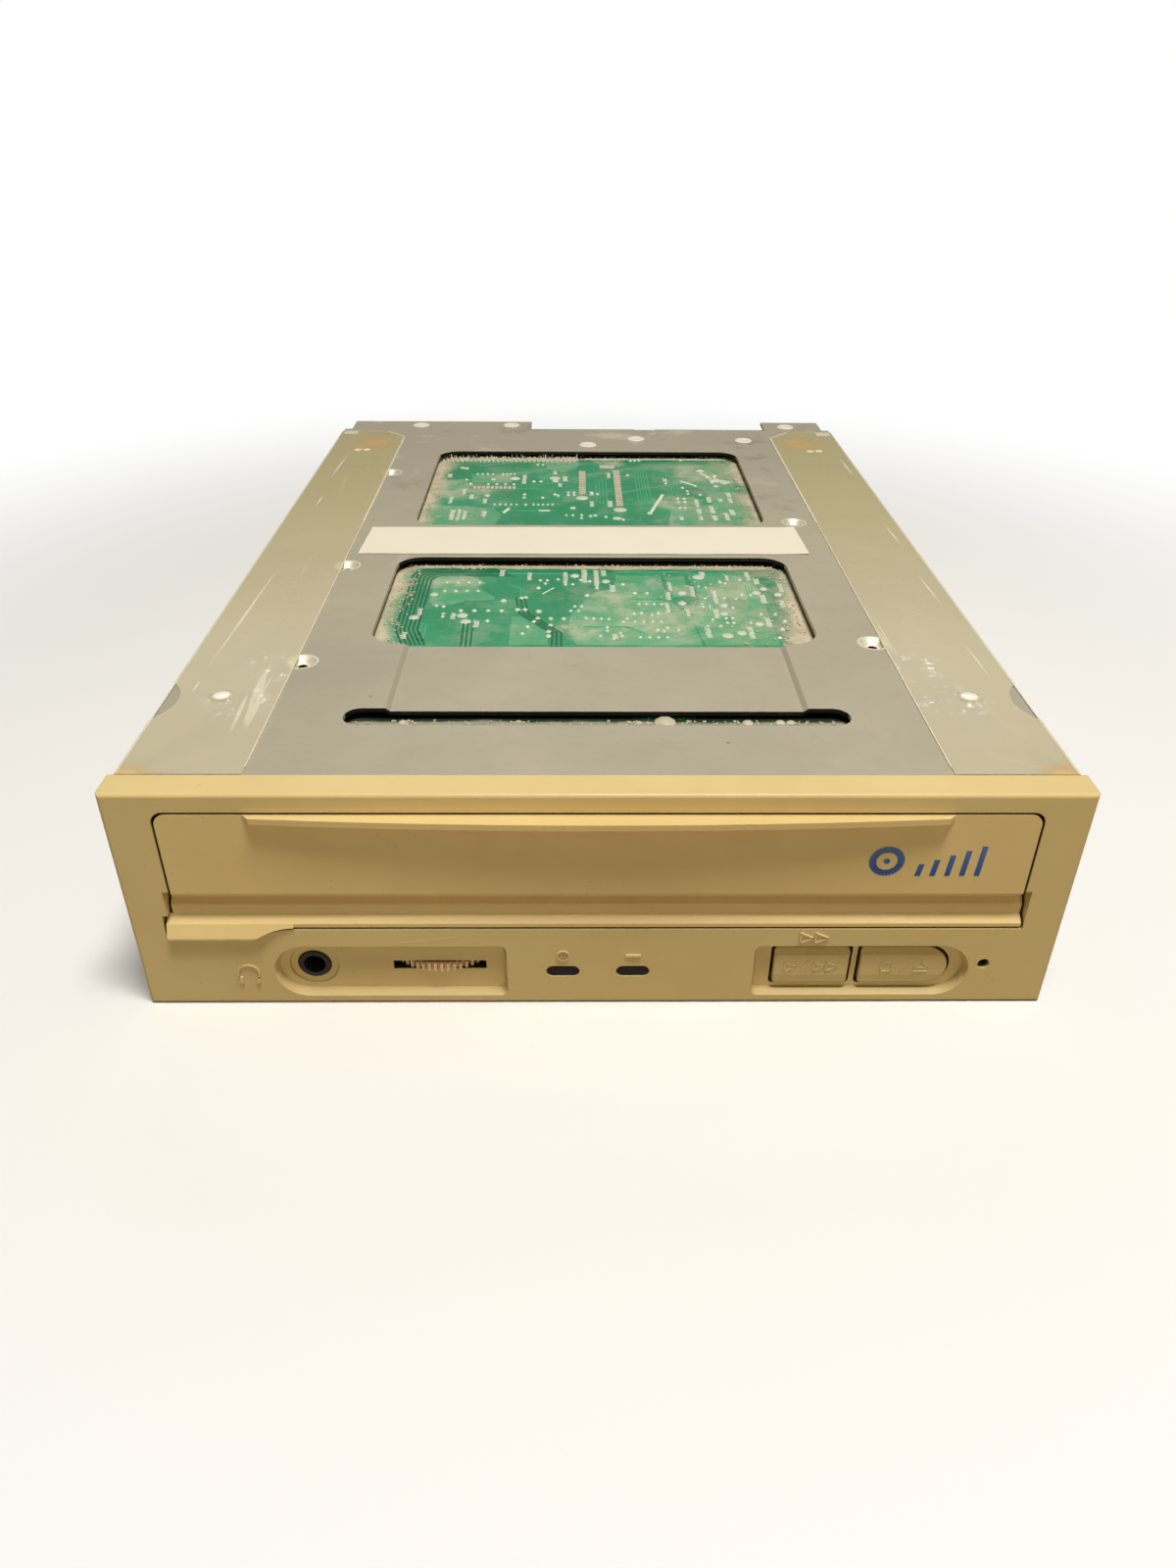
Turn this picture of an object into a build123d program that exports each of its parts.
from build123d import *
import math
import os

# Half-height CD-ROM drive with a motorised tray, in millimetres.
# X is to the right and Z is up. While it is being built, Y runs back from the bezel's front face.
# The finished pieces are shifted along Y so that the origin is under the middle of the drive.

# Overall sizes
body_width = 146.0
body_height = 41.0
front_overhang = 1.0
front_rise = 0.3
front_depth = 5.5
cover_rear = 203.0
tab_reach = 9.0
tab_rear = cover_rear + tab_reach
board_rear = tab_rear - 0.5
half_body = body_width / 2
half_front = half_body + front_overhang
front_height = body_height + front_rise

# Sheet metal and films
cover_sheet = 0.8
pan_sheet = 1.0
film_sheet = 0.2
sheet_gap = 0.1
wall_inner = half_body - cover_sheet - sheet_gap - pan_sheet

# Clearances
slide_gap = 0.3
fit_gap = 0.06
door_gap = 0.35
button_gap = 0.45
seat_gap = 0.3

# Bezel
face_wall = 3.0
rim_wall = 1.8
face_edge = 0.6
row_z = 6.9
pocket_depth = 1.7
pocket_low = 1.65
pocket_high = 12.15
pocket_corner = 1.2
pocket_slope = 0.5
lug_width = 1.2
lug_low, lug_high = 8.0, 18.0
lug_reach = 7.0
catch_low, catch_high = 10.5, 15.5

# Tray front
door_half = half_front - 7.6
door_top = front_height - 3.55
door_low = 22.8
door_corner = 2.0
chin_half = half_front - 6.6
chin_low = 16.1
chin_tab = (-half_front + 5.7, -half_front + 19.4)
chin_tab_low = 14.2
chin_curve_end = chin_tab[1] + 6.3
door_thick = 4.0
groove_deep = 2.2
groove_mid = 1.4
lip_half = door_half - 14.4
lip_reach = 2.8
lip_end = 1.1
lip_thick = 1.15
ledge_set = 0.1
ledge_flat = 0.7
tab_proud = 0.9
tab_flat = 0.4
band_low, band_high, step_high = 17.9, 19.8, 20.7

# Front controls
jack_x = -half_body + 26.5
jack_hole = 2.75
jack_nose = 2.6
jack_bore = 1.8
jack_ring = 4.0
jack_body = (10.4, 8.8)
jack_rear = 15.0
wheel_x = jack_x + 20.6
wheel_radius = 10.0
wheel_thick = 1.3
wheel_proud = 1.0
wheel_ribs = 60
rib_depth = 0.6
wheel_slot = (wheel_x - 7.6, wheel_x + 7.6)
wheel_slot_height = 1.7
lamp_x = (-5.7, 5.7)
lamp_size = (5.2, 2.0)
lamp_leg_half = 1.2
lamp_leg = (1.0, 4.0)
pin_hole_x, pin_hole_z = half_body - 10.0, 8.4
play_span = (pin_hole_x - 34.1, pin_hole_x - 21.7)
eject_span = (pin_hole_x - 19.9, pin_hole_x - 5.4)
left_pocket = (jack_x - 6.1, wheel_x + 11.1)
right_pocket = (play_span[0] - 3.5, eject_span[1] + 3.1)
button_height = 7.1
button_front = 0.95
button_corner = 0.6
button_edge = 0.4
button_flange = 0.7
button_bevel = (0.95, 1.1)
button_flange_thick = 1.0
button_stem = 2.6
button_stem_half = 2.0
button_travel = 0.5
switch_half = 3.0
switch_depth = 3.5
plunger_length = 0.9
plunger_radius = 1.7
pin_hole_radius = 0.95
lever_half = 1.5
lever_rear = 30.0
lever_slot = (20.0, 27.0)

# Control board behind the bezel
control_z = 1.5
control_thick = 1.0
control_front, control_back = 6.5, 20.5
control_half = pin_hole_x - 3.0
ribbon_sheet = 0.3
ribbon_front, ribbon_back = 8.0, 18.0
ribbon_foot = 4.0
ribbon_head = 12.0

# Tray
tray_low = 17.0
tray_top = 22.4
tray_half = half_body - 11.0
tray_rear = 186.0
disc_y = 75.0
disc_recess = 60.5
disc_floor = 20.0
small_recess = 40.5
small_floor = 18.9
slot_half = 23.0
runner_half = tray_half + 3.2
runner_low, runner_high = 18.6, 20.6
tray_travel = 138.0

# Loading train, seen from above
train_y = 31.0
tooth_module = 1.0
rack_back_x = -tray_half + 1.5
rack_pitch_x = rack_back_x + 4.0
rack_low = chin_tab_low
rack_front = 16.0
rack_rear = rack_front + tray_travel + 19.0
drive_teeth, drive_wheel_teeth = 16, 28
pinion_teeth = 10
gear_low, gear_mid, gear_top = 10.3, 13.4, 16.4
post_radius = 1.5
pulley_groove = 7.6
pulley_rim = 8.9
motor_groove = 2.4
motor_rim = 3.8
belt_size = 1.2
belt_gap = 0.15
belt_distance = 27.0
loading_motor_radius = 10.0
loading_motor_low, loading_motor_high = 1.8, 12.4
shaft_radius = 1.0

# Loader frame
rail_out = wall_inner - 2.1
rail_in = tray_half + 1.0
rail_low_in = tray_half + 3.0
rail_low, rail_step, rail_top = 3.0, 16.4, 24.0
rail_front, rail_rear = 20.0, 190.0
shelf_low, shelf_top = 8.2, 10.0
shelf_front, shelf_rear = 21.5, 46.0
shelf_notch = 34.5
beam_front = 174.0
beam_top = 13.0
foot_y = (30.0, 182.0)
foot_x = (rail_low_in + rail_out) / 2
post_y = (25.0, 186.0)
post_x = rail_out - 2.6
post_round = 2.5

# Cam slider and lift frame
cam_front = shelf_rear + 0.6
cam_thick = 3.0
cam_half = 38.0
cam_low, cam_high = 1.3, 13.4
cam_travel = 12.0
lift_pin_x = 22.0
lift_pin_z = 9.6
lift_pin_radius = 1.4
cam_slot_gap = 0.5
lift_front = cam_front + cam_thick + 0.6
lift_rear = 166.0
lift_motor_gap = 1.2
lift_bar = 6.0
lift_front_bar = 5.8
bushing_pad = 4.5
lift_low, lift_top = 6.5, 10.0
lift_front_top = 11.5
hinge_y, hinge_z = 160.0, 8.0
hinge_radius = 2.0
lift_angle = 2.2

# Traverse plate and spindle
plate_low, plate_thick = 11.2, 1.0
plate_front, plate_rear = 57.0, 156.0
window_half = 26.0
window_front, window_rear = 87.6, 150.0
bushing_x = 44.0
plate_half = bushing_x + 5.0
bushing_y = (61.5, 150.0)
bushing_radius = 4.0
bushing_neck = 2.8
bushing_bore = 1.6
bushing_top = 13.4
spindle_radius = 11.0
spindle_low = 5.2
spindle_boss = 4.8
turntable_neck = 4.5
pad_width = 3.5
hub_slope = 1.4
turntable_radius = 15.0
turntable_low = 18.9
turntable_top = 20.4
pad_thick = 0.5
hub_radius = 7.4
hub_top = 22.0

# Sled
rod_x = 20.5
rod_z = 14.0
rod_radius = 1.5
bracket_length = 4.0
sled_half = 23.6
sled_low, sled_top = 9.5, 15.6
lens_y = 98.0
sled_front, sled_back = lens_y - 10.0, lens_y + 13.0
sled_travel = 35.0
sled_hollow_half, sled_hollow_wall, sled_hollow_deep = 12.0, 3.0, 1.5
sled_module = 0.8
sled_pitch_x = 28.0
sled_rack_rear = sled_front + sled_travel + 9.0
sled_rack_low, sled_rack_high = 14.8, 16.4
sled_gear_y = 127.0
sled_pinion_teeth, sled_wheel_teeth = 8, 16
sled_motor_radius = 6.0
sled_motor_low = 5.0
lens_gap = 0.7
holder_size = (10.0, 9.0, 2.2)
lens_radius = 2.6
lens_height = 0.5
sled_axle_radius = 1.0
sled_shaft_radius = 0.8
bracket_half = 2.4
bracket_rise = 2.2

# Clamp
bridge_low, bridge_thick = 27.0, 1.0
bridge_half_y = 11.0
bridge_half_x = rail_out - 0.5
bridge_hole = 10.5
puck_low = hub_top + seat_gap
puck_radius = 14.0
puck_neck = 9.0
puck_cap = 13.0
puck_flange = 1.8
magnet_radius = 7.0
magnet_hole = 3.0
magnet_sink = 2.2

# Main board
board_thick = 1.6
board_drop = 2.1
board_half = half_body - 3.7
board_front = 16.0

# Top cover openings, measured from the photo
slot_span = (21.3, 27.0)
slot_half_x = 42.0
front_window = (52.1, 96.5)
front_window_half = 42.3
rear_window = (117.6, 179.3)
rear_window_half = 41.8
window_corner = 5.5
panel_half = 35.5
panel_drop = 0.6
panel_slope = 0.8
dimples = ((-53.0, 44.5), (-53.1, 91.4), (-53.1, 159.0), (52.3, 52.8), (48.7, 120.1))
dimple_radius = 3.0
dimple_hole = 0.9
dimple_depth = 1.5
left_tab = (-half_body + 2.0, -17.1)
right_tab = (53.7, half_body - 2.0)
flange_low = 26.2
film_inner = half_body - 19.0
film_low = flange_low + 1.8
film_rear = 200.0
film_corner = 6.0
film_notch = (29.2, 13.0)
film_notch_deep = 2.6
film_bump = (half_body - 9.3, 30.8)
film_bump_radius = 2.2
film_bump_high = 0.4
label_front, label_rear = 98.0, 116.9
label_left, label_right = -film_inner + 2.8, film_inner - 5.7
label_sheet = 0.12

# Mounting holes, on the usual spacing for this class of drive
mount_radius = 1.5
mount_first = 52.3
mount_pitch_y = 79.24
side_hole_z = (10.0, 21.84)
bottom_hole_x = half_body - 3.15

# Rear connectors
audio_left, audio_width, audio_height = board_half - 13.3, 12.0, 6.5
header_right = audio_left - 2.8
header_span = (header_right - 69.8, header_right)
header_columns = 25
header_key_half, header_key_front = 2.3, 4.0
header_height = 9.0
header_depth = 10.0
power_span = (-board_half + 0.8, -board_half + 22.3)
power_height = 10.8
power_depth = 15.0
power_wall = 1.3
power_roof = 1.5
plug_floor = 3.0
power_key = (2.8, 3.0)
pan_rear = 200.0
pan_dents = (60.0, 90.0, 120.0)
pan_dent_half, pan_dent_length = 40.0, 12.0
pin_pitch = 2.54
pin_half = 0.32
power_contacts = 4
power_pitch = 5.08
power_pin_radius = 1.05
plug_recess = 3.2
small_depth = 9.0
jumper_height = 6.0
jumper_pins = 6
jumper_rows = (1.6, 4.14)
jumper_share = 0.33
jumper_room = header_span[0] - power_span[1] - jumper_pins * pin_pitch
jumper_left = power_span[1] + jumper_share * jumper_room
board_notch = (14.8, 21.0)

# Parts under the main board: the chips' middle and size, and the capacitors' middles
chip_places = ((22, 150, 28, 28), (-24, 146, 20, 14), (-24, 120, 18, 11), (26, 112, 14, 14),
               (-30, 60, 16, 10), (28, 48, 12, 8), (0, 172, 24, 9), (-50, 105, 8, 20))
chip_thick = 2.4
capacitor_places = ((-50, 170), (-42, 178), (46, 172), (52, 182), (52, 60), (-54, 140))
capacitor_radius, capacitor_height = 3.1, 6.0

# Screws
screw_radius = 1.25
board_screw_length = 6.0
bridge_screw_length = 5.5
frame_screw_top = 5.8
head_radius = 2.5
head_height = 1.3

# Worked-out places
middle_y = (tab_rear - lip_reach) / 2
board_top = body_height - board_drop
board_low = board_top - board_thick
control_top = control_z + control_thick
stem_front = face_wall + seat_gap + button_flange_thick
wheel_y = pocket_depth - wheel_proud + wheel_radius
drive_x = rack_pitch_x + drive_teeth * tooth_module / 2
pulley_x = drive_x + (drive_wheel_teeth + pinion_teeth) * tooth_module / 2
loading_motor_x = pulley_x + belt_distance
plate_top = plate_low + plate_thick
sled_gear_x = sled_pitch_x + sled_pinion_teeth * sled_module / 2
sled_motor_x = sled_gear_x + (sled_wheel_teeth + sled_pinion_teeth) * sled_module / 2
lift_half = sled_motor_x + sled_motor_radius + lift_motor_gap + lift_bar
hinge_block = (lift_half + 3.0, rail_low_in)
hinge_tip = lift_half + 7.0
pan_rear_top = board_low - power_height - 0.5
mount_y = (front_depth + mount_first, front_depth + mount_first + mount_pitch_y)
belt_middle = (gear_mid + gear_top) / 2


# Shared shapes
def block(x0, x1, y0, y1, z0, z1):
    """A box between two corners."""
    return Pos((x0 + x1) / 2, (y0 + y1) / 2, (z0 + z1) / 2) * Box(x1 - x0, y1 - y0, z1 - z0)


def rod_up(x, y, z0, z1, radius):
    """A round bar along Z."""
    return Pos(x, y, (z0 + z1) / 2) * Cylinder(radius, z1 - z0)


def rod_back(x, z, y0, y1, radius):
    """A round bar along Y."""
    return Pos(x, (y0 + y1) / 2, z) * Rot(90, 0, 0) * Cylinder(radius, y1 - y0)


def rod_across(y, z, x0, x1, radius):
    """A round bar along X."""
    return Pos((x0 + x1) / 2, y, z) * Rot(0, 90, 0) * Cylinder(radius, x1 - x0)


def front_view(y):
    """The plane that faces the viewer at a depth y, with its own x along X and its y along Z."""
    return Plane(origin=(0, y, 0), x_dir=(1, 0, 0), z_dir=(0, -1, 0))


def front_slab(face, y0, y1):
    """A face drawn as seen from the front, as thick as the depths y0 to y1."""
    return extrude(front_view(y1) * face, amount=y1 - y0)


def top_slab(face, z0, z1):
    """A face drawn as seen from above, between two heights."""
    return extrude(Pos(0, 0, z0) * face, amount=z1 - z0)


def across_slab(points, x0, x1):
    """A side profile of (y, z) points, carried from x0 to x1."""
    side = Plane(origin=(x0, 0, 0), x_dir=(0, 1, 0), z_dir=(1, 0, 0))
    return extrude(side * make_face(Polyline(*points, close=True)), amount=x1 - x0)


def rectangle(x0, x1, y0, y1):
    """A plain rectangle between two corners."""
    return Pos((x0 + x1) / 2, (y0 + y1) / 2) * Rectangle(x1 - x0, y1 - y0)


def rounded(x0, x1, y0, y1, radius):
    """A rectangle between two corners, with its corners rounded."""
    return Pos((x0 + x1) / 2, (y0 + y1) / 2) * RectangleRounded(x1 - x0, y1 - y0, radius)


def d_shape(x_square, x_round, z0, z1, corner):
    """An outline with one half-round end and one square end with small corners."""
    half = (z1 - z0) / 2
    side = 1 if x_round > x_square else -1
    centre = x_round - side * half
    straight = rectangle(min(x_square, centre), max(x_square, centre), z0, z1)
    ends = straight.vertices().group_by(Axis.X)
    straight = fillet(ends[0] if side > 0 else ends[-1], corner)
    return straight + Pos(centre, (z0 + z1) / 2) * Circle(half)


def gear_face(teeth, module, turn=0.0):
    """A gear outline with straight flanks and its first tooth along X, turned by some degrees."""
    pitch_radius = teeth * module / 2
    tip = (pitch_radius + 0.85 * module, 0.31 * module)
    root = (pitch_radius - 1.15 * module, 0.98 * module)
    points = []
    for number in range(teeth):
        centre = math.radians(turn) + 2 * math.pi * number / teeth
        for (radius, half), side in ((root, -1), (tip, -1), (tip, 1), (root, 1)):
            angle = centre + side * half / radius
            points.append((radius * math.cos(angle), radius * math.sin(angle)))
    return make_face(Polyline(*points, close=True))


def rack_face(pitch_x, back_x, gap_y, y0, y1, module):
    """A straight rack with teeth towards +X and a tooth space centred on gap_y."""
    pitch = math.pi * module
    first = math.ceil((y0 - gap_y) / pitch + 0.1)
    last = math.floor((y1 - gap_y) / pitch - 1.1)
    root_x, tip_x = pitch_x - 1.15 * module, pitch_x + 0.85 * module
    points = [(back_x, y0), (root_x, y0)]
    for number in range(first, last + 1):
        middle = gap_y + (number + 0.5) * pitch
        points += [(root_x, middle - 0.98 * module), (tip_x, middle - 0.31 * module)]
        points += [(tip_x, middle + 0.31 * module), (root_x, middle + 0.98 * module)]
    points += [(root_x, y1), (back_x, y1)]
    return make_face(Polyline(*points, close=True))


def screw(x, y, seat, length):
    """A pan-head screw driven down from a seat height."""
    head = rod_up(x, y, seat, seat + head_height, head_radius)
    cross = block(x - 1.5, x + 1.5, y - 0.25, y + 0.25, seat + 0.6, seat + head_height)
    cross += block(x - 0.25, x + 0.25, y - 1.5, y + 1.5, seat + 0.6, seat + head_height)
    return head - cross + rod_up(x, y, seat - length, seat, screw_radius)


def both_sides(solid):
    """A solid and its mirror image across the middle of the drive."""
    return solid + mirror(solid, Plane.YZ)


def put(name, *pieces):
    """Shift the pieces to the drive's origin and write them as one node."""
    placed = [Pos(0, -middle_y, 0) * piece for piece in pieces]
    node = placed[0] if len(placed) == 1 else Compound(children=placed)
    export_step(node, f"parts/{name}.step")


# Tray front
def chin_outline(gap):
    """The chin below the door with its tab at the left, grown by a gap."""
    rise = chin_low - chin_tab_low
    run = chin_curve_end - chin_tab[1]
    radius = (run ** 2 + rise ** 2) / (2 * rise)
    half_turn = math.asin(run / radius) / 2
    middle = (chin_curve_end - radius * math.sin(half_turn),
              chin_low - radius + radius * math.cos(half_turn))
    path = Polyline((chin_curve_end, chin_low), (chin_half, chin_low), (chin_half, door_low),
                    (-chin_half, door_low), (-chin_half, chin_low + 2), (chin_tab[0], chin_low + 2),
                    (chin_tab[0], chin_tab_low), (chin_tab[1], chin_tab_low))
    curve = ThreePointArc((chin_tab[1], chin_tab_low), middle, (chin_curve_end, chin_low))
    face = make_face([*path.edges(), *curve.edges()])
    return offset(face, amount=gap, kind=Kind.INTERSECTION) if gap else face


def door_outline(gap):
    """The flat door panel, grown by a gap, with rounded top corners."""
    face = rectangle(-door_half - gap, door_half + gap, door_low - 1, door_top + gap)
    return fillet(face.vertices().group_by(Axis.Y)[-1], door_corner)


def tray_front():
    """The door panel with a crescent finger lip above and a stepped chin below."""
    door = front_slab(door_outline(0), 0, door_thick)
    door -= block(-half_front, half_front, -1, door_thick + 1, 0, door_low)
    grooves = [(groove_mid, band_low), (groove_mid, band_high), (groove_deep, step_high),
               (groove_deep, door_low), (door_thick, door_low)]
    ledge = [(door_thick, chin_low), (ledge_set, chin_low), (ledge_set, chin_low + ledge_flat)]
    ledge += grooves
    tab = [(door_thick, chin_tab_low), (-tab_proud, chin_tab_low),
           (-tab_proud, chin_tab_low + tab_flat), (ledge_set, chin_low + ledge_flat)]
    tab += grooves
    outline = front_slab(chin_outline(0), -1, door_thick + 1)
    chin = across_slab(ledge, chin_curve_end, chin_half)
    chin += across_slab(tab, chin_tab[0], chin_curve_end) & outline
    arc = ThreePointArc((-lip_half, -lip_end), (0, -lip_reach), (lip_half, -lip_end))
    ends = Polyline((lip_half, -lip_end), (lip_half + lip_end, 0), (-lip_half - lip_end, 0),
                    (-lip_half, -lip_end))
    crescent = make_face([*arc.edges(), *ends.edges()])
    lip = top_slab(crescent, door_top - lip_thick, door_top)
    return door + chin + lip


# Bezel
def pocket(x_square, x_round):
    """A sunk pocket with sloped walls, one round end and one square end."""
    side = 1 if x_round > x_square else -1
    wide = d_shape(x_square, x_round, pocket_low, pocket_high, pocket_corner)
    slim = d_shape(x_square + side * pocket_slope, x_round - side * pocket_slope,
                   pocket_low + pocket_slope, pocket_high - pocket_slope,
                   pocket_corner - pocket_slope)
    return loft([front_view(0) * wide, front_view(pocket_depth) * slim])


def button_face(span, round_end, grow):
    """The outline of a front button, grown on all sides."""
    low, high = row_z - button_height / 2 - grow, row_z + button_height / 2 + grow
    if round_end:
        return d_shape(span[0] - grow, span[1] + grow, low, high, button_corner)
    return rounded(span[0] - grow, span[1] + grow, low, high, button_corner)


def bezel():
    """The moulded front frame."""
    shell = block(-half_front, half_front, 0, front_depth, 0, front_height)
    shell = fillet(shell.faces().sort_by(Axis.Y)[0].edges(), face_edge)
    shell -= block(-half_front + rim_wall, half_front - rim_wall, face_wall, front_depth + 1,
                   rim_wall, front_height - rim_wall)
    shell -= front_slab(door_outline(door_gap), -1, front_depth + 1)
    shell -= front_slab(chin_outline(door_gap), -1, front_depth + 1)
    shell -= pocket(left_pocket[1], left_pocket[0])
    shell -= pocket(right_pocket[0], right_pocket[1])
    shell -= rod_back(jack_x, row_z, 0, front_depth, jack_hole)
    shell -= rod_back(jack_x, row_z, 0, pocket_depth + 0.35, jack_ring)
    shell -= block(*wheel_slot, 0, front_depth, row_z - wheel_slot_height / 2,
                   row_z + wheel_slot_height / 2)
    for x in lamp_x:
        window = Pos(x, row_z) * SlotOverall(lamp_size[0] + 0.2, lamp_size[1] + 0.2)
        shell -= front_slab(window, -1, front_depth)
    shell -= front_slab(button_face(play_span, False, button_gap), 0, front_depth)
    shell -= front_slab(button_face(eject_span, True, button_gap), 0, front_depth)
    shell -= rod_back(pin_hole_x, pin_hole_z, -1, front_depth, pin_hole_radius)
    for side in (-1, 1):
        inner, outer = half_body - pan_sheet - 0.4 - lug_width, half_body - pan_sheet - 0.4
        lug = block(inner, outer, face_wall, front_depth + lug_reach, lug_low, lug_high)
        lug += across_slab([(front_depth + 3, catch_low), (front_depth + 5, catch_low),
                            (front_depth + 5, catch_high), (front_depth + 3, catch_high)],
                           outer, half_body - 0.2)
        shell += lug if side > 0 else mirror(lug, Plane.YZ)
    return shell


# Controls
def button(span, round_end):
    """A push button with a retaining flange behind the bezel and a stem for its switch."""
    cap = front_slab(button_face(span, round_end, 0), button_front, face_wall + seat_gap)
    top = row_z + button_height / 2
    deep, down = button_bevel
    cap -= across_slab([(button_front - deep, top - 2 * down), (button_front + 2 * deep, top + down),
                        (button_front - deep, top + down)], *span)
    cap = fillet(cap.faces().sort_by(Axis.Y)[0].edges(), button_edge)
    flange_face = button_face(span, False, button_flange)
    cap += front_slab(flange_face, face_wall + seat_gap, stem_front)
    middle = (span[0] + span[1]) / 2
    half = button_stem_half
    return cap + block(middle - half, middle + half, stem_front, stem_front + button_stem,
                       row_z - half, row_z + half)


def volume_wheel():
    """The ribbed thumb wheel, whose edge shows in the slot."""
    points = []
    for rib in range(wheel_ribs):
        step = 2 * math.pi / wheel_ribs
        for share, radius in ((0.0, wheel_radius - rib_depth), (0.15, wheel_radius),
                              (0.55, wheel_radius), (0.7, wheel_radius - rib_depth)):
            angle = (rib + share) * step
            points.append((radius * math.cos(angle), radius * math.sin(angle)))
    face = Pos(wheel_x, wheel_y) * make_face(Polyline(*points, close=True))
    face -= Pos(wheel_x, wheel_y) * Circle(post_radius + fit_gap)
    return top_slab(face, row_z - wheel_thick / 2, row_z + wheel_thick / 2)


def volume_pot():
    """The potentiometer that carries the wheel."""
    top = row_z - wheel_thick / 2 - seat_gap
    body = block(wheel_x - 5, wheel_x + 5, wheel_y - 4.2, wheel_y + 5, control_top, top)
    return body + rod_up(wheel_x, wheel_y, top, row_z + wheel_thick / 2 + 0.5, post_radius)


def headphone_jack():
    """The 3.5 mm socket with its round nose and its bore."""
    width, height = jack_body
    body = block(jack_x - width / 2, jack_x + width / 2, face_wall + 0.2, jack_rear,
                 row_z - height / 2, row_z + height / 2)
    body += rod_back(jack_x, row_z, pocket_depth + 0.1, face_wall + 0.5, jack_nose)
    return body - rod_back(jack_x, row_z, 0, jack_rear - 1, jack_bore)


def indicator_leds():
    """Two lamps with square-ended light guides that reach the bezel's windows."""
    lamps = []
    for x in lamp_x:
        rear = control_front + lamp_leg[1]
        guide = front_slab(Pos(x, row_z) * SlotOverall(*lamp_size), 0.2, rear)
        guide += block(x - lamp_leg_half, x + lamp_leg_half, control_front + lamp_leg[0], rear,
                       control_top, row_z)
        lamps.append(guide)
    return lamps


def tact_switches():
    """One small switch behind each button."""
    switches = []
    plunger_front = stem_front + button_stem + button_travel + seat_gap
    body_front = plunger_front + plunger_length
    for span in (play_span, eject_span):
        middle = (span[0] + span[1]) / 2
        body = block(middle - switch_half, middle + switch_half, body_front,
                     body_front + switch_depth, control_top, row_z + switch_half)
        plunger = rod_back(middle, row_z, plunger_front, body_front, plunger_radius)
        switches.append(body + plunger)
    return switches


def eject_lever():
    """The slider that a straightened pin pushes to free the tray by hand."""
    arm = block(pin_hole_x - lever_half, rail_low_in - 0.4, face_wall + 2 * seat_gap, lever_rear,
                pin_hole_z - lever_half, pin_hole_z + lever_half)
    return arm - block(pin_hole_x - 0.4, pin_hole_x + 0.8, *lever_slot, 0, body_height)


def control_board():
    """The small board behind the bezel that carries the jack, pot, lamps and switches."""
    return block(-control_half, control_half, control_front, control_back, control_z, control_top)


def front_ribbon():
    """A flat cable, held all the way, from the control board up to the main board."""
    thick, depths = ribbon_sheet, (ribbon_front, ribbon_back)
    side = (rail_out + half_body - pan_sheet - sheet_gap - pan_sheet) / 2
    right = side + thick / 2
    ribbon = block(control_half - ribbon_foot, right, *depths, control_top, control_top + thick)
    ribbon += block(side - thick / 2, right, *depths, control_top, board_low)
    return ribbon + block(board_half - ribbon_head, right, *depths, board_low - thick, board_low)


# Tray and loading train
def tray():
    """The disc tray with two recesses, a slot open to the rear, side runners and a rack."""
    plate = block(-tray_half, tray_half, door_thick, tray_rear, tray_low, tray_top)
    plate -= rod_up(0, disc_y, disc_floor, tray_top + 1, disc_recess)
    plate -= rod_up(0, disc_y, small_floor, tray_top + 1, small_recess)
    plate -= rod_up(0, disc_y, 0, tray_top + 1, slot_half)
    plate -= block(-slot_half, slot_half, disc_y, tray_rear + 1, 0, tray_top + 1)
    runner = block(tray_half, runner_half, door_thick + 2, tray_rear, runner_low, runner_high)
    rack = rack_face(rack_pitch_x, rack_back_x, train_y, rack_front, rack_rear, tooth_module)
    return plate + both_sides(runner) + top_slab(rack, rack_low, tray_low)


def drive_gear():
    """The compound gear that pushes the tray's rack."""
    bore = Circle(post_radius + fit_gap)
    wheel = top_slab(gear_face(drive_wheel_teeth, tooth_module) - bore, gear_low, gear_mid - 0.4)
    collar = top_slab(Circle(4.5) - bore, gear_mid - 0.4, gear_mid)
    small = top_slab(gear_face(drive_teeth, tooth_module) - bore, gear_mid, gear_top)
    return Pos(drive_x, train_y, 0) * (wheel + collar + small)


def grooved(radius, rim, low, high, bore):
    """A pulley with a square groove for the belt."""
    half = belt_size / 2 + belt_gap
    body = rod_up(0, 0, low, high, rim)
    ring = rod_up(0, 0, belt_middle - half, belt_middle + half, rim + 1)
    ring -= rod_up(0, 0, belt_middle - half, belt_middle + half, radius)
    return body - ring - rod_up(0, 0, low - 1, high + 1, bore)


def pulley_gear():
    """The belt pulley with the pinion below it."""
    bore = post_radius + fit_gap
    half_tooth = 180 / pinion_teeth
    pinion = top_slab(gear_face(pinion_teeth, tooth_module, half_tooth) - Circle(bore),
                      gear_low, gear_mid)
    wheel = grooved(pulley_groove, pulley_rim, gear_mid, gear_top, bore)
    return Pos(pulley_x, train_y, 0) * (pinion + wheel)


def motor_pulley():
    """The small pulley on the loading motor's shaft."""
    wheel = grooved(motor_groove, motor_rim, loading_motor_high + seat_gap, gear_top,
                    shaft_radius + fit_gap)
    return Pos(loading_motor_x, train_y, 0) * wheel


def loading_motor():
    """The tray motor."""
    can = rod_up(loading_motor_x, train_y, loading_motor_low, loading_motor_high,
                 loading_motor_radius)
    can = fillet(can.edges().filter_by(GeomType.CIRCLE), 0.8)
    return can + rod_up(loading_motor_x, train_y, loading_motor_high, gear_top - 0.2, shaft_radius)


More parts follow.
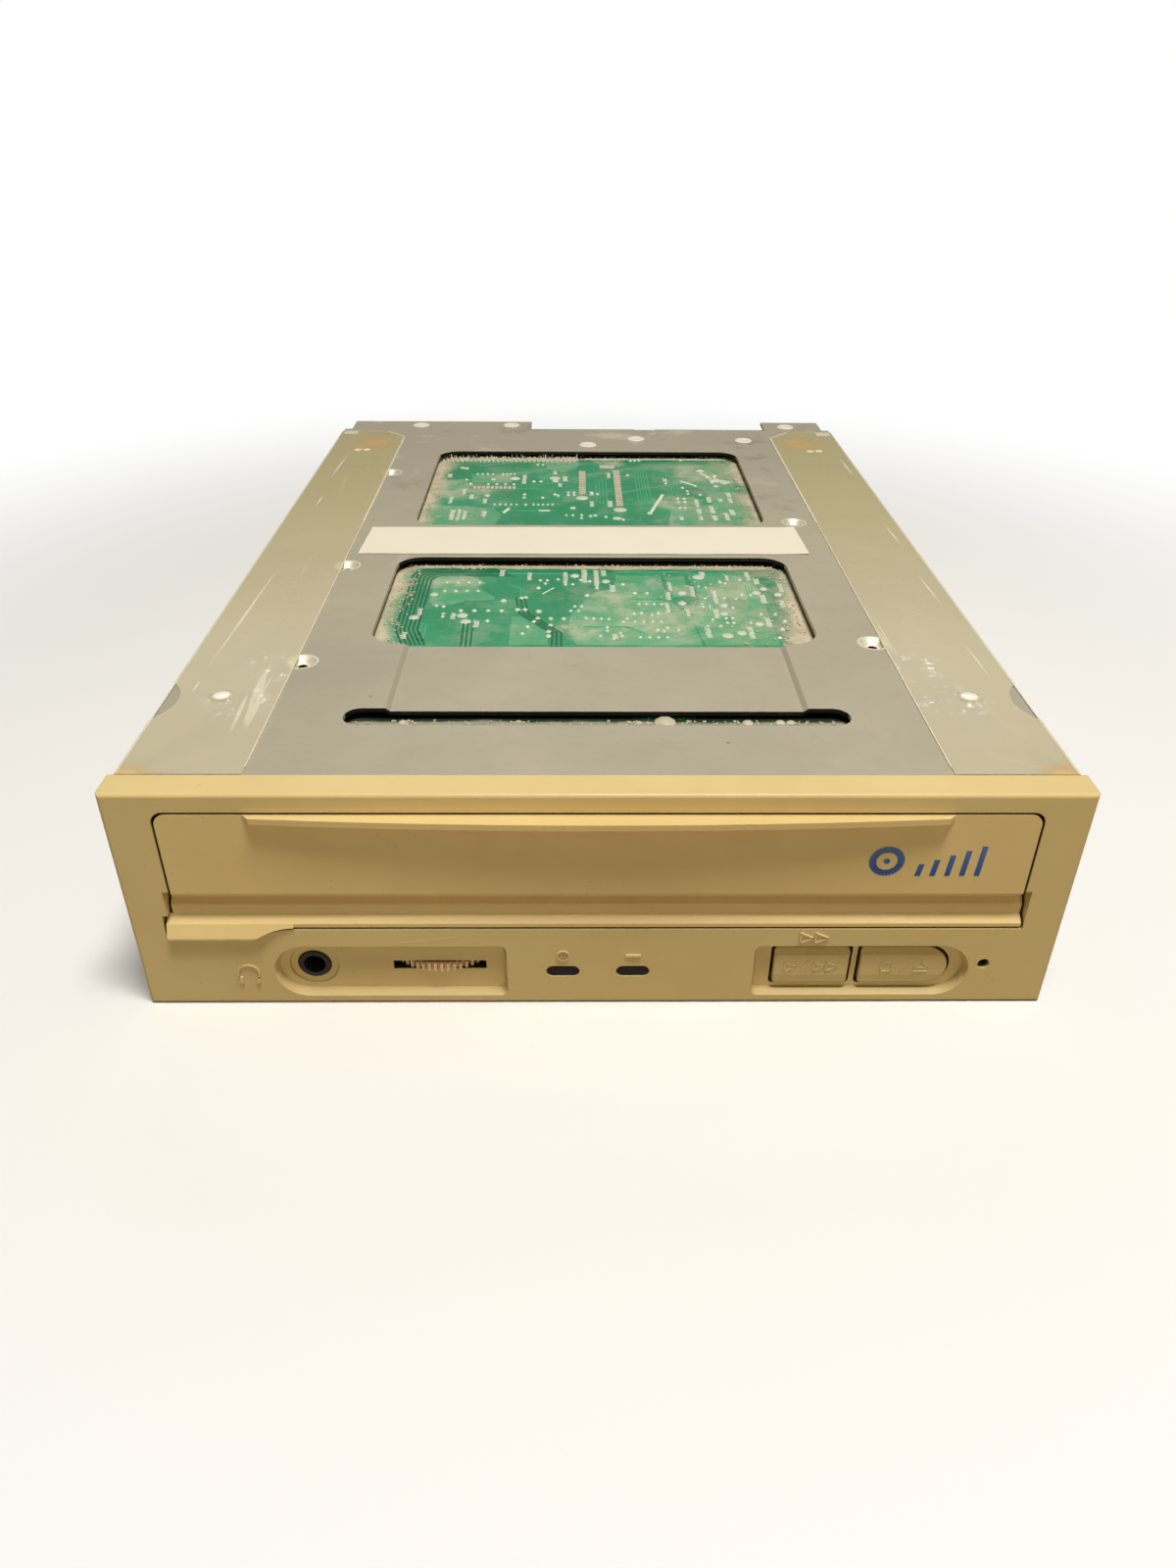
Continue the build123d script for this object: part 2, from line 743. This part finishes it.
def loading_belt():
    """The square belt round both pulleys."""
    def loop(grow):
        big, small = pulley_groove + belt_gap + grow, motor_groove + belt_gap + grow
        lean = (big - small) / belt_distance
        rise = math.sqrt(1 - lean ** 2)
        corners = [(big * lean, big * rise), (belt_distance + small * lean, small * rise),
                   (belt_distance + small * lean, -small * rise), (big * lean, -big * rise)]
        straight = make_face(Polyline(*corners, close=True))
        return straight + Circle(big) + Pos(belt_distance, 0) * Circle(small)
    face = Pos(pulley_x, train_y) * (loop(belt_size) - loop(0))
    return top_slab(face, belt_middle - belt_size / 2, belt_middle + belt_size / 2)


def loader_frame():
    """The moulded frame with the tray's guide grooves, gear posts and hinge blocks."""
    rail = block(rail_low_in, rail_out, rail_front, rail_rear, rail_low, rail_step)
    rail += block(rail_in, rail_out, rail_front, rail_rear, rail_step, rail_top)
    rail -= block(rail_in - 1, runner_half + slide_gap, rail_front - 1, rail_rear + 1,
                  runner_low - slide_gap, runner_high + slide_gap)
    rail += block(rail_in, rail_out, disc_y - bridge_half_y - 2, disc_y + bridge_half_y + 2,
                  rail_top, bridge_low)
    rail += block(hinge_block[0], rail_low_in, hinge_y - 6, hinge_y + 6, rail_low, beam_top)
    rail -= rod_across(hinge_y, hinge_z, hinge_block[0] - 1, hinge_tip + 0.5,
                       hinge_radius + fit_gap)
    for y in post_y:
        rail += rod_up(post_x, y, rail_top, board_low, post_round)
    for y in foot_y:
        rail += rod_up(foot_x, y, pan_sheet, rail_low, 1.9)
    frame = both_sides(rail)
    frame += block(-rail_low_in, pin_hole_x - 3, shelf_front, shelf_rear, shelf_low, shelf_top)
    frame += block(pin_hole_x - 3, rail_low_in, shelf_notch, shelf_rear, shelf_low, shelf_top)
    frame += block(-rail_low_in, rail_low_in, beam_front, rail_rear, rail_low, beam_top)
    frame += rod_up(loading_motor_x, train_y, shelf_top, shelf_top + 1.5,
                    loading_motor_radius + 1.6)
    frame -= rod_up(loading_motor_x, train_y, 0, shelf_top + 2, loading_motor_radius + 0.2)
    frame += rod_up(drive_x, train_y, shelf_top, gear_top + 0.3, post_radius)
    frame += rod_up(pulley_x, train_y, shelf_top, gear_top + 0.3, post_radius)
    for side in (-1, 1):
        for y in foot_y:
            frame -= rod_up(side * foot_x, y, 0, 6, screw_radius)
        for y in post_y:
            frame -= rod_up(side * post_x, y, board_low - 5, board_low + 1, screw_radius)
        frame -= rod_up(side * (rail_in + rail_out) / 2, disc_y, bridge_low - 5, bridge_low + 1,
                        screw_radius)
    return frame


# Lifting mechanism
def lift_drop():
    """How far the lift pins come down when the frame is lowered."""
    return (hinge_y - lift_front) * math.sin(math.radians(lift_angle))


def cam_slider():
    """The sliding cam whose sloped slots carry the lift frame's two pins."""
    bar = block(-cam_half, cam_half, cam_front, cam_front + cam_thick, cam_low, cam_high)
    radius = lift_pin_radius + cam_slot_gap
    for x in (-lift_pin_x, lift_pin_x):
        run = math.hypot(cam_travel, lift_drop())
        lean = math.degrees(math.atan2(lift_drop(), cam_travel))
        middle = (x - cam_travel / 2, lift_pin_z - lift_drop() / 2)
        slot = Pos(*middle) * Rot(0, 0, lean) * SlotCenterToCenter(run, 2 * radius)
        bar -= front_slab(slot, cam_front - 1, cam_front + cam_thick + 1)
    return bar


def lift_frame():
    """The frame that carries the traverse plate and tips down at the front."""
    ring = block(-lift_half, lift_half, lift_front, lift_rear, lift_low, lift_top)
    bar_rear = lift_front + lift_front_bar
    ring -= block(-lift_half + lift_bar, lift_half - lift_bar, bar_rear, hinge_y - 2,
                  lift_low - 1, lift_top + 1)
    ring += block(-lift_half, lift_half, lift_front, bar_rear, lift_top, lift_front_top)
    for side in (-1, 1):
        ring += rod_across(hinge_y, hinge_z, *sorted((side * lift_half, side * hinge_tip)),
                           hinge_radius)
        ring += rod_back(side * lift_pin_x, lift_pin_z, cam_front + 0.2, lift_front,
                         lift_pin_radius)
        for y in bushing_y:
            far = hinge_y - 2 if y > disc_y else y + bushing_pad
            near = y - bushing_pad if y > disc_y else bar_rear
            span = sorted((side * (bushing_x - bushing_pad), side * (lift_half - lift_bar)))
            ring += block(*span, near, far, lift_low, lift_top)
    for x in (-bushing_x, bushing_x):
        for y in bushing_y:
            ring -= rod_up(x, y, lift_low - 1, lift_top + 1, screw_radius)
    return ring


def at_bushings(solid):
    """Copies of a solid at the four suspension points."""
    return [Pos(x, y, 0) * solid for x in (-bushing_x, bushing_x) for y in bushing_y]


def bushing():
    """A rubber bush with a groove for the traverse plate."""
    body = rod_up(0, 0, lift_top, bushing_top, bushing_radius)
    groove = rod_up(0, 0, plate_low, plate_top, bushing_radius + 1)
    groove -= rod_up(0, 0, plate_low, plate_top, bushing_neck)
    return body - groove - rod_up(0, 0, lift_top - 1, bushing_top + 1, bushing_bore)


def traverse_plate():
    """The steel plate that carries the spindle motor and the sled's rods."""
    plate = block(-plate_half, plate_half, plate_front, plate_rear, plate_low, plate_top)
    plate -= block(-window_half, window_half, window_front, window_rear, 0, 20)
    plate -= rod_up(0, disc_y, 0, 20, spindle_boss + 0.2)
    plate -= rod_up(sled_motor_x, sled_gear_y, 0, 20, 2.5 * sled_shaft_radius)
    for x in (-bushing_x, bushing_x):
        for y in bushing_y:
            plate -= rod_up(x, y, 0, 20, bushing_neck)
    axle = rod_up(sled_gear_x, sled_gear_y, plate_top, sled_rack_high + 0.4, sled_axle_radius)
    return plate + axle


def spindle_motor():
    """The flat disc motor under the plate, with its shaft."""
    can = rod_up(0, disc_y, spindle_low, plate_low, spindle_radius)
    can += rod_up(0, disc_y, plate_low, plate_top - 0.2, spindle_boss)
    return can + rod_up(0, disc_y, plate_top - 0.2, turntable_top, shaft_radius)


def turntable():
    """The turntable with its neck, flange and centring hub."""
    neck = rod_up(0, disc_y, plate_top + seat_gap, turntable_low, turntable_neck)
    flange = rod_up(0, disc_y, turntable_low, turntable_top, turntable_radius)
    hub = Pos(0, disc_y, (turntable_top + hub_top) / 2) * Cone(
        hub_radius, hub_radius - hub_slope, hub_top - turntable_top)
    return neck + flange + hub - rod_up(0, disc_y, 0, turntable_top + 0.2, shaft_radius + fit_gap)


def turntable_pad():
    """The rubber ring that the disc sits on."""
    ring = rod_up(0, disc_y, turntable_top, turntable_top + pad_thick, turntable_radius - 0.5)
    return ring - rod_up(0, disc_y, 0, 30, turntable_radius - 0.5 - pad_width)


def rod_brackets():
    """Four blocks that hold the ends of the guide rods."""
    blocks = []
    for x in (-rod_x, rod_x):
        for y0 in (window_front - bracket_length, window_rear + 0.5):
            holder = block(x - bracket_half, x + bracket_half, y0, y0 + bracket_length, plate_top,
                           rod_z + bracket_rise)
            blocks.append(holder - rod_back(x, rod_z, y0 - 1, y0 + bracket_length + 1, rod_radius))
    return blocks


def guide_rods():
    """Two polished rods that the sled runs on."""
    y0, y1 = window_front - bracket_length, window_rear + 0.5 + bracket_length
    return [rod_back(x, rod_z, y0, y1, rod_radius) for x in (-rod_x, rod_x)]


def pickup_sled():
    """The optical sled with a closed bearing on the left rod and a fork on the right."""
    body = block(-sled_half, sled_half, sled_front, sled_back, sled_low, sled_top)
    body -= rod_back(-rod_x, rod_z, sled_front - 1, sled_back + 1, rod_radius + fit_gap)
    body -= block(rod_x - rod_radius - slide_gap, sled_half - 1.0, sled_front - 1, sled_back + 1,
                  rod_z - rod_radius - slide_gap, sled_top + 1)
    body -= block(-sled_hollow_half, sled_hollow_half, sled_front + sled_hollow_wall,
                  sled_back - sled_hollow_wall, sled_low - 1, sled_low + sled_hollow_deep)
    return body


def sled_rack():
    """The rack along the sled's right side."""
    back = sled_half
    face = rack_face(sled_pitch_x, back, sled_gear_y, sled_front, sled_rack_rear, sled_module)
    return top_slab(face, sled_rack_low, sled_rack_high)


def sled_gear():
    """The compound gear between the sled motor and the rack."""
    bore = Circle(sled_axle_radius + fit_gap)
    wheel = top_slab(gear_face(sled_wheel_teeth, sled_module) - bore, plate_top + 0.6,
                     sled_rack_low - 0.6)
    small = top_slab(gear_face(sled_pinion_teeth, sled_module) - bore, sled_rack_low - 0.6,
                     sled_rack_high + 0.2)
    return Pos(sled_gear_x, sled_gear_y, 0) * (wheel + small)


def sled_pinion():
    """The small gear on the sled motor's shaft."""
    face = gear_face(sled_pinion_teeth, sled_module, 180 / sled_pinion_teeth)
    face -= Circle(sled_shaft_radius + fit_gap)
    return Pos(sled_motor_x, sled_gear_y, 0) * top_slab(face, plate_top + 0.3, sled_rack_low - 0.5)


def sled_motor():
    """The small motor that drives the sled."""
    can = rod_up(sled_motor_x, sled_gear_y, sled_motor_low, plate_low, sled_motor_radius)
    return can + rod_up(sled_motor_x, sled_gear_y, plate_low, sled_rack_low - 0.6,
                        sled_shaft_radius)


def lens_holder():
    """The lens carrier that floats over the sled on its wires."""
    width, length, height = holder_size
    low = sled_top + lens_gap
    body = block(-width / 2, width / 2, lens_y - length / 2, lens_y + length / 2, low, low + height)
    return body - rod_up(0, lens_y, low - 1, low + height + 1, lens_radius)


def objective_lens():
    """The objective lens in its carrier."""
    low = sled_top + lens_gap
    top = low + holder_size[2]
    lens = rod_up(0, lens_y, low + 0.5, top, lens_radius)
    return lens + Pos(0, lens_y, top + lens_height / 2) * Cone(lens_radius, 1.2, lens_height)


# Clamp
def clamp_bridge():
    """The steel strap over the disc, with a hole for the clamp."""
    strap = block(-bridge_half_x, bridge_half_x, disc_y - bridge_half_y, disc_y + bridge_half_y,
                  bridge_low, bridge_low + bridge_thick)
    strap += rod_up(0, disc_y, bridge_low, bridge_low + bridge_thick, puck_radius + 2)
    strap -= rod_up(0, disc_y, 0, body_height, bridge_hole)
    for side in (-1, 1):
        strap -= rod_up(side * (rail_in + rail_out) / 2, disc_y, 0, body_height, screw_radius)
    return strap


def clamp_puck():
    """The disc clamp that hangs in the bridge and turns with the disc."""
    cap_low = bridge_low + bridge_thick + seat_gap
    puck = rod_up(0, disc_y, puck_low, puck_low + puck_flange, puck_radius)
    puck += rod_up(0, disc_y, puck_low + puck_flange, cap_low, puck_neck)
    puck += rod_up(0, disc_y, cap_low, cap_low + 1.0, puck_cap)
    return puck - rod_up(0, disc_y, cap_low - magnet_sink, cap_low + 2, magnet_radius)


def clamp_magnet():
    """The ring magnet in the clamp."""
    cap_low = bridge_low + bridge_thick + seat_gap
    ring = rod_up(0, disc_y, cap_low - magnet_sink, cap_low + 0.8, magnet_radius)
    return ring - rod_up(0, disc_y, 0, body_height, magnet_hole)


# Case
def side_holes(solid):
    """Cut the side mounting holes through both walls."""
    for y in mount_y:
        for z in side_hole_z:
            solid -= rod_across(y, z, -half_body - 1, -half_body + 3, mount_radius)
            solid -= rod_across(y, z, half_body - 3, half_body + 1, mount_radius)
    return solid


def chassis_pan():
    """The lower steel pan, whose side walls step inwards under the cover's flanges."""
    floor = block(-half_body, half_body, front_depth, pan_rear, 0, pan_sheet)
    inner = half_body - cover_sheet - sheet_gap
    wall = block(half_body - pan_sheet, half_body, front_depth, pan_rear, 0, flange_low - 0.2)
    wall += block(inner - pan_sheet, half_body, front_depth, pan_rear,
                  flange_low - 1.2, flange_low - 0.2)
    wall += block(inner - pan_sheet, inner, front_depth, pan_rear,
                  flange_low - 1.2, body_height - cover_sheet - 0.3)
    wall -= block(inner - pan_sheet - 1, inner + 1, board_front - 1, pan_rear + 1,
                  board_low - 1.0, body_height)
    wall -= block(half_body - 2, half_body + 1, front_depth + 2.5, front_depth + 5.5,
                  catch_low - 0.5, catch_high + 0.5)
    pan = floor + both_sides(wall)
    pan += block(-half_body, half_body, pan_rear - pan_sheet, pan_rear, 0, pan_rear_top)
    for y in pan_dents:
        dent = rounded(-pan_dent_half, pan_dent_half, y, y + pan_dent_length, 5)
        pan -= top_slab(dent, -1, 0.4)
    for side in (-1, 1):
        for y in mount_y:
            pan -= rod_up(side * bottom_hole_x, y, -1, pan_sheet + 1, mount_radius)
        for y in foot_y:
            pan -= rod_up(side * foot_x, y, -1, pan_sheet + 1, head_radius + 0.1)
    return side_holes(pan)


def dimple(x, y):
    """A conical dimple pressed into the cover, with a small hole at its bottom."""
    low = body_height - dimple_depth
    cone = Pos(x, y, (low + body_height) / 2) * Cone(dimple_hole + 0.5, dimple_radius,
                                                      dimple_depth)
    return cone, low


def top_cover():
    """The galvanised cover with its slot, sunk panel, two windows, dimples and rear tabs."""
    under = body_height - cover_sheet
    plate = block(-half_body, half_body, front_depth, cover_rear, under, body_height)
    plate += block(*left_tab, cover_rear, tab_rear, under, body_height)
    plate += block(*right_tab, cover_rear, tab_rear, under, body_height)
    flange = block(half_body - cover_sheet, half_body, front_depth, cover_rear, flange_low,
                   body_height)
    plate += both_sides(flange)
    windows = rounded(-front_window_half, front_window_half, *front_window, window_corner)
    windows += rounded(-rear_window_half, rear_window_half, *rear_window, window_corner)
    plate -= top_slab(windows, under - 3, body_height + 1)
    plate -= block(-panel_half, panel_half, slot_span[1], front_window[0], under - 1,
                   body_height + 1)
    low = under - panel_drop
    plate += block(-panel_half + panel_slope, panel_half - panel_slope, slot_span[1],
                   front_window[0], low, low + cover_sheet)
    ramp = make_face(Polyline((panel_half, body_height), (panel_half, under),
                              (panel_half - panel_slope, low),
                              (panel_half - panel_slope, low + cover_sheet), close=True))
    plate += both_sides(front_slab(ramp, slot_span[1], front_window[0]))
    slot = rounded(-slot_half_x, slot_half_x, *slot_span, (slot_span[1] - slot_span[0]) / 2 - 0.05)
    plate -= top_slab(slot, under - 3, body_height + 1)
    for x, y in dimples:
        cone, bottom = dimple(x, y)
        shell = Pos(x, y, bottom + dimple_depth / 2) * Cone(dimple_hole + 1.1, dimple_radius + 0.6,
                                                            dimple_depth)
        plate += shell
        plate -= Pos(0, 0, 0.4) * cone
        plate -= rod_up(x, y, bottom - 1, body_height + 1, dimple_hole)
    return plate


def film(side):
    """A clear film over one shoulder of the cover, folded down its side."""
    corner = film_corner
    outer = half_body + film_sheet
    top = make_face(Polyline((film_inner, front_depth + 0.4), (outer, front_depth + 0.4),
                             (outer, film_rear), (film_inner + corner, film_rear),
                             (film_inner, film_rear - corner), close=True))
    sheet = top_slab(top, body_height, body_height + film_sheet)
    sheet += block(half_body, outer, front_depth + 0.4, film_rear, film_low,
                   body_height + film_sheet)
    ball = (film_bump_radius ** 2 + film_bump_high ** 2) / (2 * film_bump_high)
    ball_low = body_height + film_sheet + film_bump_high - 2 * ball
    bump = Pos(*film_bump, ball_low + ball) * Sphere(ball)
    bump &= rod_up(*film_bump, body_height + film_sheet / 2, body_height + 1, film_bump_radius)
    sheet += bump
    half = film_notch[1] / 2
    radius = (half ** 2 + film_notch_deep ** 2) / (2 * film_notch_deep)
    sheet -= rod_up(outer - film_notch_deep + radius, film_notch[0],
                    body_height - film_notch_deep, body_height + 1, radius)
    return sheet if side > 0 else mirror(sheet, Plane.YZ)


def cover_label():
    """A plain paper strip between the windows."""
    return block(label_left, label_right, label_front, label_rear, body_height,
                 body_height + label_sheet)


# Main board
def main_board():
    """The main circuit board, solder side up, held on four posts."""
    board = block(-board_half, board_half, board_front, cover_rear - 4, board_low, board_top)
    board += block(left_tab[0] + 2, right_tab[1] - 2, cover_rear - 4, board_rear, board_low,
                   board_top)
    board -= block(*board_notch, board_rear - 0.8, board_rear + 1, board_low - 1, board_top + 1)
    for side in (-1, 1):
        for y in post_y:
            board -= rod_up(side * post_x, y, board_low - 1, board_top + 1, screw_radius + 0.1)
    return board


def board_chips():
    """The chips soldered to the underside of the board."""
    chips = []
    for x, y, width, length in chip_places:
        legs = block(x - width / 2 - 1.2, x + width / 2 + 1.2, y - length / 2 + 1,
                     y + length / 2 - 1, board_low - 0.4, board_low)
        body = block(x - width / 2, x + width / 2, y - length / 2, y + length / 2,
                     board_low - 0.2 - chip_thick, board_low - 0.2)
        chips.append(body + legs)
    return chips


def board_capacitors():
    """The round capacitors under the board."""
    cans = []
    for x, y in capacitor_places:
        can = rod_up(x, y, board_low - capacitor_height, board_low, capacitor_radius)
        cans.append(fillet(can.edges().sort_by(Axis.Z)[0], 0.5))
    return cans


def scsi_connector():
    """The box header for the data cable, open to the rear."""
    x0, x1 = header_span
    low = board_low - header_height
    front = board_rear - header_depth
    shell = block(x0, x1, front, board_rear, low, board_low)
    shell -= block(x0 + 1, x1 - 1, front + 2, board_rear + 1, low + 1, board_low - 1)
    middle = (x0 + x1) / 2
    key = block(middle - header_key_half, middle + header_key_half, front + header_key_front,
                board_rear + 1, low - 1, low + 2)
    return shell - key


def pins_back(xs, zs, y0, y1, half):
    """A field of square pins along Y."""
    return [block(x - half, x + half, y0, y1, z - half, z + half) for x in xs for z in zs]


def scsi_pins():
    """Fifty contact pins in two rows."""
    middle = (header_span[0] + header_span[1]) / 2
    first = middle - (header_columns - 1) / 2 * pin_pitch
    xs = [first + number * pin_pitch for number in range(header_columns)]
    z = board_low - header_height / 2
    front = board_rear - header_depth
    return pins_back(xs, (z - pin_pitch / 2, z + pin_pitch / 2), front + 2, board_rear - 2, pin_half)


def power_connector():
    """The four-pin power socket."""
    x0, x1 = power_span
    low = board_low - power_height
    front = board_rear - power_depth
    shell = block(x0, x1, front, board_rear, low, board_low)
    hole = block(x0 + power_wall, x1 - power_wall, front + plug_floor, board_rear + 1,
                 low + power_wall, board_low - power_roof)
    key_wide, key_high = power_key
    hole -= across_slab([(front, low), (board_rear + 2, low), (board_rear + 2, low + key_high),
                         (front, low + key_high)], x0, x0 + key_wide)
    return shell - hole


def power_pins():
    """Four round power pins."""
    middle = (power_span[0] + power_span[1]) / 2
    z = board_low - power_height / 2
    front = board_rear - power_depth
    first = middle - (power_contacts - 1) / 2 * power_pitch
    xs = [first + number * power_pitch for number in range(power_contacts)]
    rear = board_rear - plug_recess
    return [rod_back(x, z, front + plug_floor, rear, power_pin_radius) for x in xs]


def jumper_block():
    """The base of the setting pins, with two rows of pins."""
    low, front = board_low - jumper_height, board_rear - small_depth
    base = block(jumper_left, jumper_left + jumper_pins * pin_pitch, front, front + 3, low, board_low)
    xs = [jumper_left + (number + 0.5) * pin_pitch for number in range(jumper_pins)]
    for pin in pins_back(xs, [low + row for row in jumper_rows], front + 3, board_rear - 0.3, pin_half):
        base += pin
    return base


def jumper_caps():
    """Two jumper caps, one over each of two pin pairs."""
    caps = []
    low, front = board_low - jumper_height, board_rear - small_depth
    for number in (1, 4):
        x = jumper_left + (number + 0.5) * pin_pitch
        cap = block(x - 1.15, x + 1.15, front + 3.2, board_rear - 0.1, low + 0.4, low + 5.4)
        for pin in pins_back([x], [low + row for row in jumper_rows], front, board_rear + 1, pin_half):
            cap -= pin
        caps.append(cap)
    return caps


def audio_connector():
    """The four-way analogue audio socket."""
    x0, x1 = audio_left, audio_left + audio_width
    low, front = board_low - audio_height, board_rear - small_depth
    shell = block(x0, x1, front, board_rear, low, board_low)
    shell -= block(x0 + 1, x1 - 1, front + 2, board_rear + 1, low + 1, board_low - 1)
    xs = [(x0 + x1) / 2 + (number - 1.5) * pin_pitch for number in range(4)]
    rear = board_rear - plug_recess
    for pin in pins_back(xs, [low + audio_height / 2], front + 2, rear, pin_half):
        shell += pin
    return shell


def board_screws():
    """Four screws that hold the board on its posts."""
    return [screw(side * post_x, y, board_top, board_screw_length)
            for side in (-1, 1) for y in post_y]


def bridge_screws():
    """Two screws that hold the clamp bridge."""
    x = (rail_in + rail_out) / 2
    seat = bridge_low + bridge_thick
    return [screw(side * x, disc_y, seat, bridge_screw_length) for side in (-1, 1)]


def suspension_screws():
    """Four screws that hold the rubber bushings."""
    length = bushing_top - lift_low - 0.3
    return at_bushings(screw(0, 0, bushing_top, length))


def frame_screws():
    """Four screws that hold the loader frame, driven up through the pan."""
    screws = []
    for side in (-1, 1):
        for y in foot_y:
            head = rod_up(side * foot_x, y, 0.1, pan_sheet, head_radius)
            shank = rod_up(side * foot_x, y, pan_sheet, frame_screw_top, screw_radius)
            screws.append(head + shank)
    return screws


os.makedirs("parts", exist_ok=True)
put("bezel", bezel())
put("tray_front", tray_front())
put("play_button", button(play_span, False))
put("eject_button", button(eject_span, True))
put("volume_wheel", volume_wheel())
put("volume_pot", volume_pot())
put("headphone_jack", headphone_jack())
put("indicator_leds", *indicator_leds())
put("tact_switches", *tact_switches())
put("eject_lever", eject_lever())
put("control_board", control_board())
put("front_ribbon", front_ribbon())
put("tray", tray())
put("drive_gear", drive_gear())
put("pulley_gear", pulley_gear())
put("motor_pulley", motor_pulley())
put("loading_motor", loading_motor())
put("loading_belt", loading_belt())
put("loader_frame", loader_frame())
put("cam_slider", cam_slider())
put("lift_frame", lift_frame())
put("suspension_bushings", *at_bushings(bushing()))
put("suspension_screws", *suspension_screws())
put("traverse_plate", traverse_plate())
put("spindle_motor", spindle_motor())
put("turntable", turntable())
put("turntable_pad", turntable_pad())
put("rod_brackets", *rod_brackets())
put("guide_rods", *guide_rods())
put("pickup_sled", pickup_sled())
put("sled_rack", sled_rack())
put("sled_gear", sled_gear())
put("sled_pinion", sled_pinion())
put("sled_motor", sled_motor())
put("lens_holder", lens_holder())
put("objective_lens", objective_lens())
put("clamp_bridge", clamp_bridge())
put("clamp_puck", clamp_puck())
put("clamp_magnet", clamp_magnet())
put("bridge_screws", *bridge_screws())
put("chassis_pan", chassis_pan())
put("top_cover", top_cover())
put("left_film", film(-1))
put("right_film", film(1))
put("cover_label", cover_label())
put("main_board", main_board())
put("board_chips", *board_chips())
put("board_capacitors", *board_capacitors())
put("scsi_connector", scsi_connector())
put("scsi_pins", *scsi_pins())
put("power_connector", power_connector())
put("power_pins", *power_pins())
put("jumper_block", jumper_block())
put("jumper_caps", *jumper_caps())
put("audio_connector", audio_connector())
put("board_screws", *board_screws())
put("frame_screws", *frame_screws())
